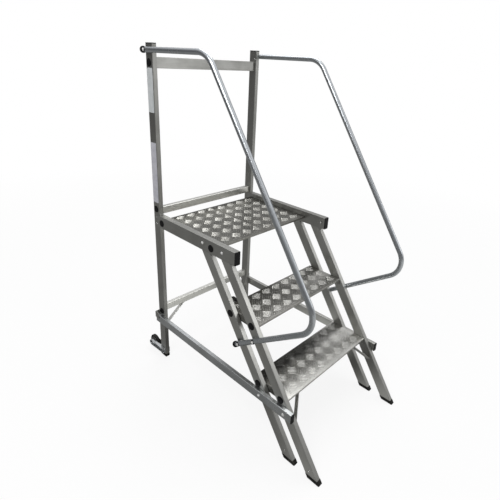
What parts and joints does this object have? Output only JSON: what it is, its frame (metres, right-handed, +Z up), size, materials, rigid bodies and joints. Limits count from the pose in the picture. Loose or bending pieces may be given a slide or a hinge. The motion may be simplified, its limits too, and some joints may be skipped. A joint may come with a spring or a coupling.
{
  "type": "rolling warehouse ladder",
  "caption": "Aluminium rolling warehouse ladder with checker-plate treads and platform, bent tube handrails and tilt-and-roll wheels.",
  "frame": {"origin": "on the floor, under the middle of the ladder's bounding box", "axes": "+Z up; the climber faces +Y, so the treads are towards -Y and the uprights and wheels towards +Y; +X is the climber's right"},
  "size_m": [0.7386, 1.2888, 1.7],
  "materials": {
    "aluminium": "mill-finish extrusion, faint lengthwise grain",
    "checker_plate": "bright five-bar checker plate, raised bars polished by wear",
    "handrail_tube": "smooth drawn tube, satin",
    "zinc_steel": "zinc plated",
    "black_plastic": "moulded, fine texture",
    "black_rubber": "matte moulded rubber",
    "grey_nylon": "moulded nylon"
  },
  "bodies": {
    "frame": {"bottom_cross_rail": "aluminium", "bottom_rail_cap_left": "black_plastic", "bottom_rail_cap_right": "black_plastic", "bottom_rail_left": "aluminium", "bottom_rail_right": "aluminium", "deck_bearer_front": "aluminium", "deck_bearer_rear": "aluminium", "deck_plank_left": "checker_plate", "deck_plank_right": "checker_plate", "front_foot_left": "black_rubber", "front_foot_right": "black_rubber", "front_stile_left": "aluminium", "front_stile_right": "aluminium", "handrail_left": "handrail_tube", "handrail_plug_lower_left": "black_plastic", "handrail_plug_lower_right": "black_plastic", "handrail_plug_upper_left": "black_plastic", "handrail_plug_upper_right": "black_plastic", "handrail_right": "handrail_tube", "handrail_stud_front_left": "zinc_steel", "handrail_stud_front_right": "zinc_steel", "handrail_stud_rear_left": "zinc_steel", "handrail_stud_rear_right": "zinc_steel", "handrail_stud_upper_left": "zinc_steel", "handrail_stud_upper_right": "zinc_steel", "knee_rail": "aluminium", "lower_tread": "checker_plate", "middle_tread": "checker_plate", "platform_rail_cap_left": "black_plastic", "platform_rail_cap_right": "black_plastic", "platform_rail_left": "aluminium", "platform_rail_right": "aluminium", "rail_bracket_left": "aluminium", "rail_bracket_right": "aluminium", "rear_brace_left": "aluminium", "rear_brace_right": "aluminium", "rear_foot_left": "black_rubber", "rear_foot_right": "black_rubber", "rear_stile_left": "aluminium", "rear_stile_right": "aluminium", "top_cross_rail": "aluminium", "tread_brace_left": "aluminium", "tread_brace_right": "aluminium", "upright_cap_left": "black_plastic", "upright_cap_right": "black_plastic", "upright_foot_left": "black_rubber", "upright_foot_right": "black_rubber", "upright_left": "aluminium", "upright_right": "aluminium", "wheel_arm_left": "aluminium", "wheel_arm_right": "aluminium", "wheel_axle_left": "zinc_steel", "wheel_axle_right": "zinc_steel", "wheel_plate_left": "aluminium", "wheel_plate_right": "aluminium"},
    "wheel_left": {"tyre_left": "black_rubber", "wheel_hub_left": "grey_nylon"},
    "wheel_right": {"tyre_right": "black_rubber", "wheel_hub_right": "grey_nylon"}
  },
  "joints": [
    {"name": "wheel_left_spin", "type": "hinge", "parent": "frame", "child": "wheel_left", "pos_m": [-0.3265, 0.60642, 0.041], "axis": [1, 0, 0], "continuous": true},
    {"name": "wheel_right_spin", "type": "hinge", "parent": "frame", "child": "wheel_right", "pos_m": [0.3265, 0.60642, 0.041], "axis": [1, 0, 0], "continuous": true}
  ]
}
